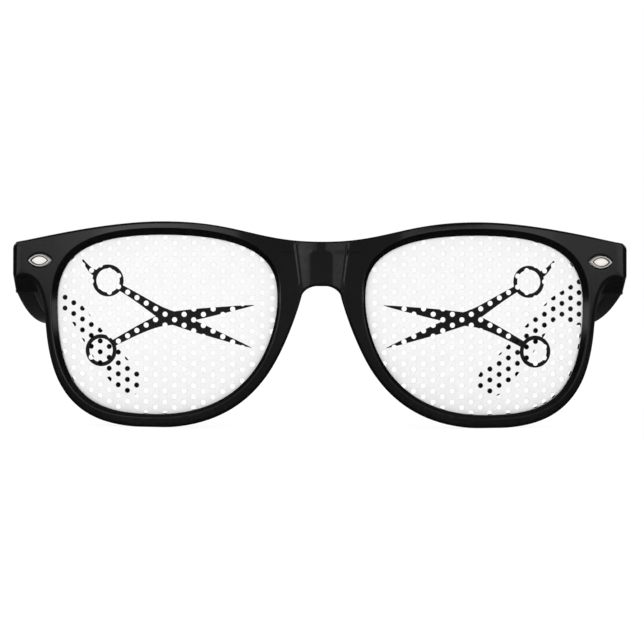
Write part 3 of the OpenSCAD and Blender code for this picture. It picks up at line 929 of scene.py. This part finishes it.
def make_stud(name, side):
    """A pointed stud with a raised rim, a groove inside it and a domed middle."""
    solid = Solid()
    back = np.array([math.sin(STUD_TILT), -math.cos(STUD_TILT)])
    across = np.array([math.cos(STUD_TILT), math.sin(STUD_TILT)])
    middle = np.array([STUD_X, wrap_y(STUD_X, 0)])

    def lift(points, height):
        flat = middle + points[:, :1] * across + height * back
        return np.stack([side * flat[:, 0], flat[:, 1], STUD_Z + points[:, 1]], 1)

    rings = []
    for inset, height in STUD_RIM + STUD_GROOVE + STUD_DOME:
        share = 1 - inset / (STUD_H / 2)
        long = STUD_L * (1 - (1 - share) * POINT_SHARE)
        rings.append(solid.add(lift(pointed_oval(long, STUD_H * share, STUD_ARC_N), height)))
    solid.tube(rings)
    centre = solid.add(lift(np.zeros((1, 2)), DOME_TOP))[0]
    last = rings[-1]
    n = len(last)
    solid.faces += [(last[i], last[(i + 1) % n], centre) for i in range(n)]
    solid.faces.append(tuple(rings[0][::-1]))
    # The bands of the rim come first, then those of the groove and the dome, and the hidden underside
    numbers = [0] * ((len(STUD_RIM) - 1) * n) + [1] * (len(STUD_GROOVE) * n)
    numbers += [2] * (len(solid.faces) - len(numbers) - 1) + [0]
    # The groove's bands take the dark metal, which is painted shade
    metals = [METAL, GROOVE_SHADE, PEARL]
    piece = outwards(mesh_object(f"end_stud_{name}", solid.points, solid.faces, metals, numbers))
    finish_piece(piece, "front", "stud_metal", f"stud_{name}", sharp=60)


# The perforated film with its print

# The print is a plain pair of scissors: two crossed strokes that end in round handles. Each half has its
# tip, the crossing, a place on the shank and the middle of the handle, as they lie on the left lens.
HALVES = [
    [(14.9, 28.3), (34.0, 25.2), (41.2, 23.0), (50.7, 17.6)],
    [(15.5, 18.5), (34.0, 25.3), (40.8, 29.3), (49.1, 33.9)],
]
PRINT_SHIFT = {"left": -0.55, "right": 0.55}
HANDLE_R = 3.75
HANDLE_HOLE_R = 2.8
# The free end of the small finger rest on the upper handle
REST_END = np.array([55.6, 39.3])
# A blade's width at some shares of its length, and a shank's width at both its ends
BLADE_SHARES = [0, 0.12, 0.6, 1]
BLADE_WIDTHS = [0.1, 0.75, 2.5, 3.2]
SHANK_WIDTHS = (3.2, 1.5)
REST_WIDTHS = (1.7, 0.4)
BLADE_N = 12
SHANK_N = 14
REST_N = 9


def stroke(line, widths):
    """A closed loop round a line whose width changes along it."""
    along = np.gradient(line, axis=0)
    along /= np.linalg.norm(along, axis=1)[:, None]
    across = np.stack([-along[:, 1], along[:, 0]], 1) * np.array(widths)[:, None] / 2
    return np.concatenate([line - across, (line + across)[::-1]])


def print_loops(shift):
    """The loops that are inked and the loops that are left clear inside them."""
    inked, clear = [], []
    for half in HALVES:
        tip, cross, shank, handle = [np.array(p) + [shift, 0] for p in half]
        lead = (cross - tip) / np.linalg.norm(cross - tip)
        end = handle + (shank - handle) / np.linalg.norm(shank - handle) * (HANDLE_R - 0.4)
        blade = np.linspace(tip, cross + lead * 2, BLADE_N)
        widths = np.interp(np.linspace(0, 1, BLADE_N), BLADE_SHARES, BLADE_WIDTHS)
        inked.append(stroke(blade, widths))
        grip = cubic(cross, cross + lead * 3.5, shank + (cross - end) * 0.12, end, SHANK_N)
        inked.append(stroke(np.concatenate([grip, [end]]), np.linspace(*SHANK_WIDTHS, SHANK_N + 1)))
        inked.append(arc(handle, HANDLE_R, 0, 360, 40)[:-1])
        clear.append(arc(handle, HANDLE_HOLE_R, 0, 360, 36)[:-1])
    upper = np.array(HALVES[1][3]) + [shift, 0]
    rest_end = REST_END + [shift, 0]
    root = upper + [HANDLE_R * 0.75, HANDLE_R * 0.45]
    rest = cubic(root, root + [1.2, 0.2], rest_end - [1.0, 1.6], rest_end, REST_N)
    inked.append(stroke(rest, np.linspace(*REST_WIDTHS, REST_N)))
    return inked, clear


# Where each side's film was cut from its sheet: so much of a step across and so high up
FILM_CUTS = {"left": (0.39, 2.19), "right": (0.96, 1.98)}
HOLE_SIDES = 24
# Width of the grey ring of painted shade round each hole
SHADE_RING_W = 0.13
# The film's materials, in the order of these numbers
FILM_LOOKS = [WHITE, HOLE_SHADE, INK, BACK]
WHITE_AT, HOLE_SHADE_AT, INK_AT, BACK_AT = range(4)
# Leaves room for rounding at a hole's sides
NEARLY = 0.999


def hole_centres(name):
    """The middles of a film's holes: a staggered grid, bent with the wrap, seen from the front."""
    across, up = FILM_CUTS[name]
    found = []
    for i in range(int(HALF_W / HOLE_RUN) + 1):
        for j in range(int(LENS_TOP / HOLE_RISE) + 1):
            x = WRAP_R * math.sin((i + across) * HOLE_RUN / WRAP_R)
            found.append((x, (j + (i % 2) / 2) * HOLE_RISE + up))
    found = np.array(found)
    return found[within(found, LENS)]


def make_film(name, side):
    edge = grown(LENS, FILM_GROW)
    centres = hole_centres(name)
    turn = np.linspace(0, 2 * math.pi, HOLE_SIDES, endpoint=False)
    circle = np.stack([np.cos(turn), np.sin(turn)], 1)
    holes = [c + circle * HOLE_D / 2 for c in centres]
    # Loops that bound the ring of painted shade round each hole
    shade_rings = [c + circle * (HOLE_D / 2 + SHADE_RING_W) for c in centres]
    inked, clear = print_loops(PRINT_SHIFT[name])
    points, faces, _ = triangles([edge, *holes, *shade_rings, *inked, *clear])
    middle = points[faces].mean(1)
    gap = np.linalg.norm(middle[:, None] - centres[None], axis=2).min(1)
    # A hole's sides are chords, so they lie a little nearer to its middle than its radius
    chord = math.cos(math.pi / HOLE_SIDES)
    keep = within(middle, edge) & (gap > HOLE_D / 2 * chord * NEARLY)
    ink = np.zeros(len(faces), bool)
    for loop in inked:
        ink |= within(middle, loop)
    for loop in clear:
        ink &= ~within(middle, loop)
    # Faces close round a hole take the painted shade
    ring = gap < (HOLE_D / 2 + SHADE_RING_W) * chord
    number = np.where(ink, INK_AT, np.where(ring, HOLE_SHADE_AT, WHITE_AT))[keep]
    faces = faces[keep]
    used = np.unique(faces)
    new = np.full(len(points), -1)
    new[used] = np.arange(len(used))
    faces = new[faces]
    flat = points[used]
    placed = np.concatenate([layer(flat, FILM_IN), layer(flat, FILM_IN + FILM_T)]) * [side, 1, 1]
    n = len(flat)
    if side < 0:
        faces = faces[:, ::-1]
    # A side that only one triangle has is on the film's edge or round a hole
    sides_of = dict.fromkeys((a, b) for face in faces for a, b in zip(face, np.roll(face, -1)))
    rim = [(a, b) for a, b in sides_of if (b, a) not in sides_of]
    all_faces = [tuple(f) for f in faces] + [tuple(f[::-1] + n) for f in faces]
    all_faces += [(b, a, a + n, b + n) for a, b in rim]
    numbers = list(number) + [BACK_AT] * (len(faces) + len(rim))
    piece = mesh_object(f"film_{name}", placed, all_faces, FILM_LOOKS, numbers)
    finish_piece(piece, "front", "film", f"lens_film_{name}")


# CAD nodes that stay

def dress(node, material, bevel=0.0):
    """Gives a CAD node its material and, if asked, softened edges. bevel is in millimetres."""
    piece = frame["nodes"][node]
    piece.data.materials.clear()
    piece.data.materials.append(material)
    if bevel:
        soft = piece.modifiers.new("soft_edges", "BEVEL")
        soft.width = bevel * MM
        soft.segments = 2
        soft.limit_method = "ANGLE"
        soft.angle_limit = math.radians(40)


def dress_nodes():
    for name in SIDES:
        dress(f"lens_{name}", CLEAR)
        dress(f"front_hinge_{name}", STEEL, 0.08)
        dress(f"temple_hinge_{name}", STEEL, 0.08)
        dress(f"hinge_screw_{name}", STEEL, 0.05)
        dress(f"front_hinge_screws_{name}", STEEL, 0.03)
        dress(f"temple_hinge_screws_{name}", STEEL, 0.03)


# The studio

# How bright the world is on the object. In gloss it is dark near the horizon and paler overhead: over
# these heights on the unit sphere, it rises between these strengths.
WORLD_LIGHT = 0.885
SKY_RISE = (0.5, 0.85)
SKY_GLOSS = (0.02, 0.12)
# The floor in metres, its colour for the light that it throws back, and its shading and glow in view
FLOOR_HALF = 6.0
FLOOR_COLOUR = 0.96
FLOOR_SHADED = 0.14
FLOOR_GLOW = 0.9
# The floor in gloss: a faint ring round the glasses, which fades ahead of them, and pale ground far
# ahead. Each pair is from where to where, in metres, or from how bright to how bright.
RING_STARTS = (0.12, 0.18)
RING_ENDS = (0.3, 0.4)
RING_BEHIND = (-0.14, -0.04)
RING_GLOSS = (0, 0.08)
AHEAD = (-0.14, -0.6)
AHEAD_GLOSS = (0.03, 0.22)
# Distance of the soft panels from the middle of the front, and that middle's height, in metres
PANEL_AWAY = 0.9
PANEL_AIM_Z = 0.02


def ray_mix(tree, plain, glossy, seen, output):
    """Sends on one of three shaders: seen in view and through clear plastic, glossy in gloss, or plain."""
    path = tree.nodes.new("ShaderNodeLightPath")
    view = tree.nodes.new("ShaderNodeMath")
    view.operation = "MAXIMUM"
    tree.links.new(path.outputs["Is Camera Ray"], view.inputs[0])
    tree.links.new(path.outputs["Is Transmission Ray"], view.inputs[1])
    inner = tree.nodes.new("ShaderNodeMixShader")
    tree.links.new(path.outputs["Is Glossy Ray"], inner.inputs[0])
    tree.links.new(plain, inner.inputs[1])
    tree.links.new(glossy, inner.inputs[2])
    outer = tree.nodes.new("ShaderNodeMixShader")
    tree.links.new(view.outputs[0], outer.inputs[0])
    tree.links.new(inner.outputs[0], outer.inputs[1])
    tree.links.new(seen, outer.inputs[2])
    tree.links.new(outer.outputs[0], output)


def background(tree, strength=1.0):
    node = tree.nodes.new("ShaderNodeBackground")
    node.inputs["Color"].default_value = (1, 1, 1, 1)
    node.inputs["Strength"].default_value = strength
    return node.outputs[0]


def eased(tree, source, start, end, low, high):
    """The value of such a node, as a soft step."""
    node = ranged(tree, source, start, end, low, high)
    node.interpolation_type = "SMOOTHSTEP"
    return node.outputs["Result"]


def combined(tree, operation, a, b):
    node = tree.nodes.new("ShaderNodeMath")
    node.operation = operation
    tree.links.new(a, node.inputs[0])
    tree.links.new(b, node.inputs[1])
    return node.outputs[0]


def matt(tree, level):
    node = tree.nodes.new("ShaderNodeBsdfDiffuse")
    node.inputs["Color"].default_value = (level, level, level, 1)
    return node.outputs[0]


def make_world():
    world = bpy.data.worlds.new("studio")
    bpy.context.scene.world = world
    world.use_nodes = True
    tree = world.node_tree
    tree.nodes.remove(tree.nodes["Background"])
    output = tree.nodes["World Output"].inputs["Surface"]
    place = tree.nodes.new("ShaderNodeTexCoord")
    split = tree.nodes.new("ShaderNodeSeparateXYZ")
    tree.links.new(place.outputs["Generated"], split.inputs[0])
    gloss = eased(tree, split.outputs["Z"], *SKY_RISE, *SKY_GLOSS)
    sky = background(tree)
    tree.links.new(gloss, sky.node.inputs["Strength"])
    ray_mix(tree, background(tree, WORLD_LIGHT), sky, background(tree), output)


def make_floor():
    mesh = bpy.data.meshes.new("floor")
    corners = [(x * FLOOR_HALF, y * FLOOR_HALF, 0) for x, y in ((-1, -1), (1, -1), (1, 1), (-1, 1))]
    mesh.from_pydata(corners, [], [(0, 1, 2, 3)])
    floor = bpy.data.objects.new("floor", mesh)
    bpy.context.scene.collection.objects.link(floor)
    material = bpy.data.materials.new("floor")
    material.use_nodes = True
    tree = material.node_tree
    tree.nodes.remove(tree.nodes["Principled BSDF"])
    glow = tree.nodes.new("ShaderNodeEmission")
    glow.inputs["Strength"].default_value = FLOOR_GLOW
    both = tree.nodes.new("ShaderNodeAddShader")
    tree.links.new(matt(tree, FLOOR_SHADED), both.inputs[0])
    tree.links.new(glow.outputs[0], both.inputs[1])
    place = tree.nodes.new("ShaderNodeTexCoord")
    split = tree.nodes.new("ShaderNodeSeparateXYZ")
    away = tree.nodes.new("ShaderNodeVectorMath")
    away.operation = "LENGTH"
    tree.links.new(place.outputs["Object"], split.inputs[0])
    tree.links.new(place.outputs["Object"], away.inputs[0])
    distance = away.outputs["Value"]
    from_inside = eased(tree, distance, *RING_STARTS, 0, 1)
    ring = combined(tree, "MULTIPLY", from_inside, eased(tree, distance, *RING_ENDS, 1, 0))
    ring = combined(tree, "MULTIPLY", ring, eased(tree, split.outputs["Y"], *RING_BEHIND, *RING_GLOSS))
    ahead = eased(tree, split.outputs["Y"], *AHEAD, *AHEAD_GLOSS)
    glint = tree.nodes.new("ShaderNodeEmission")
    tree.links.new(combined(tree, "ADD", ring, ahead), glint.inputs["Strength"])
    output = tree.nodes["Material Output"].inputs["Surface"]
    ray_mix(tree, matt(tree, FLOOR_COLOUR), glint.outputs[0], both.outputs[0], output)
    mesh.materials.append(material)


def softbox(name, start, end, foot, top, radiance):
    """A soft panel between two azimuths and two elevations, in degrees. Azimuth 0 is straight ahead."""
    azimuth = math.radians((start + end) / 2)
    middle = math.radians((foot + top) / 2)
    data = bpy.data.lights.new(name, "AREA")
    data.shape = "RECTANGLE"
    data.size = 2 * PANEL_AWAY * math.tan(math.radians(abs(end - start) / 2)) * math.cos(middle)
    data.size_y = 2 * PANEL_AWAY * math.tan(math.radians((top - foot) / 2))
    data.energy = radiance * data.size * data.size_y * math.pi
    light = bpy.data.objects.new(name, data)
    level = math.cos(middle)
    away = Vector((math.sin(azimuth) * level, -math.cos(azimuth) * level, math.sin(middle)))
    light.location = Vector((0, FRONT_Y * MM, PANEL_AIM_Z)) + away * PANEL_AWAY
    light.rotation_mode = "QUATERNION"
    light.rotation_quaternion = away.to_track_quat("Z", "Y")
    bpy.context.scene.collection.objects.link(light)


# The soft panels: azimuths from and to, elevations from and to, and how bright each is. An azimuth
# below zero is on the wearer's right.
PANELS = {
    "bridge_box": (-14, 14, -2.6, 34, 0.19),
    "inner_box_right": (-15, -26, -2.6, 34, 1.25),
    "front_box_right": (-26, -44, -2.6, 9, 1.9),
    "shoulder_box_right": (-44, -53, 0.6, 9, 1.05),
    "middle_box_right": (-53, -63, 0.4, 9, 0.75),
    "side_box_right": (-64, -78, 0.4, 20, 1.0),
    "back_box_right": (-115, -155, 12, 48, 0.8),
    "inner_box_left": (15, 22, -2.6, 34, 0.85),
    "low_box_left": (22, 34, -2.6, 2.3, 2.1),
    "front_box_left": (34, 49, -2.6, 9, 1.3),
    "middle_box_left": (49, 63, 0.2, 9, 0.75),
    "side_box_left": (64, 78, 0.2, 20, 1.0),
    "back_box_left": (115, 155, 12, 48, 0.8),
}


def make_lights():
    for name, spans in PANELS.items():
        softbox(name, *spans)


# The camera stands level, 450 mm ahead of the bridge and 10.5 mm towards the wearer's right
CAMERA_AWAY = 450.0
CAMERA_X = -10.5
CAMERA_Z = 32.0
VIEW_W = 147.35
SENSOR_W = 36.0
ROLL = math.radians(-0.184)
SHIFT_X = 0.07198
SHIFT_Y = -0.05106


def make_camera():
    data = bpy.data.cameras.new("camera")
    data.sensor_width = SENSOR_W
    data.lens = SENSOR_W * CAMERA_AWAY / VIEW_W
    data.shift_x = SHIFT_X
    data.shift_y = SHIFT_Y
    data.clip_start = 0.01
    camera = bpy.data.objects.new("camera", data)
    camera.location = (CAMERA_X * MM, (FRONT_Y - CAMERA_AWAY) * MM, CAMERA_Z * MM)
    camera.rotation_euler = (math.pi / 2, ROLL, 0)
    bpy.context.scene.collection.objects.link(camera)
    bpy.context.scene.camera = camera


bpy.context.scene.view_settings.view_transform = "Standard"
make_camera()
make_world()
make_floor()
make_lights()
make_front()
for side_name, side_sign in SIDES.items():
    make_temple(side_name, side_sign)
    make_stud(side_name, side_sign)
    make_film(side_name, side_sign)
dress_nodes()
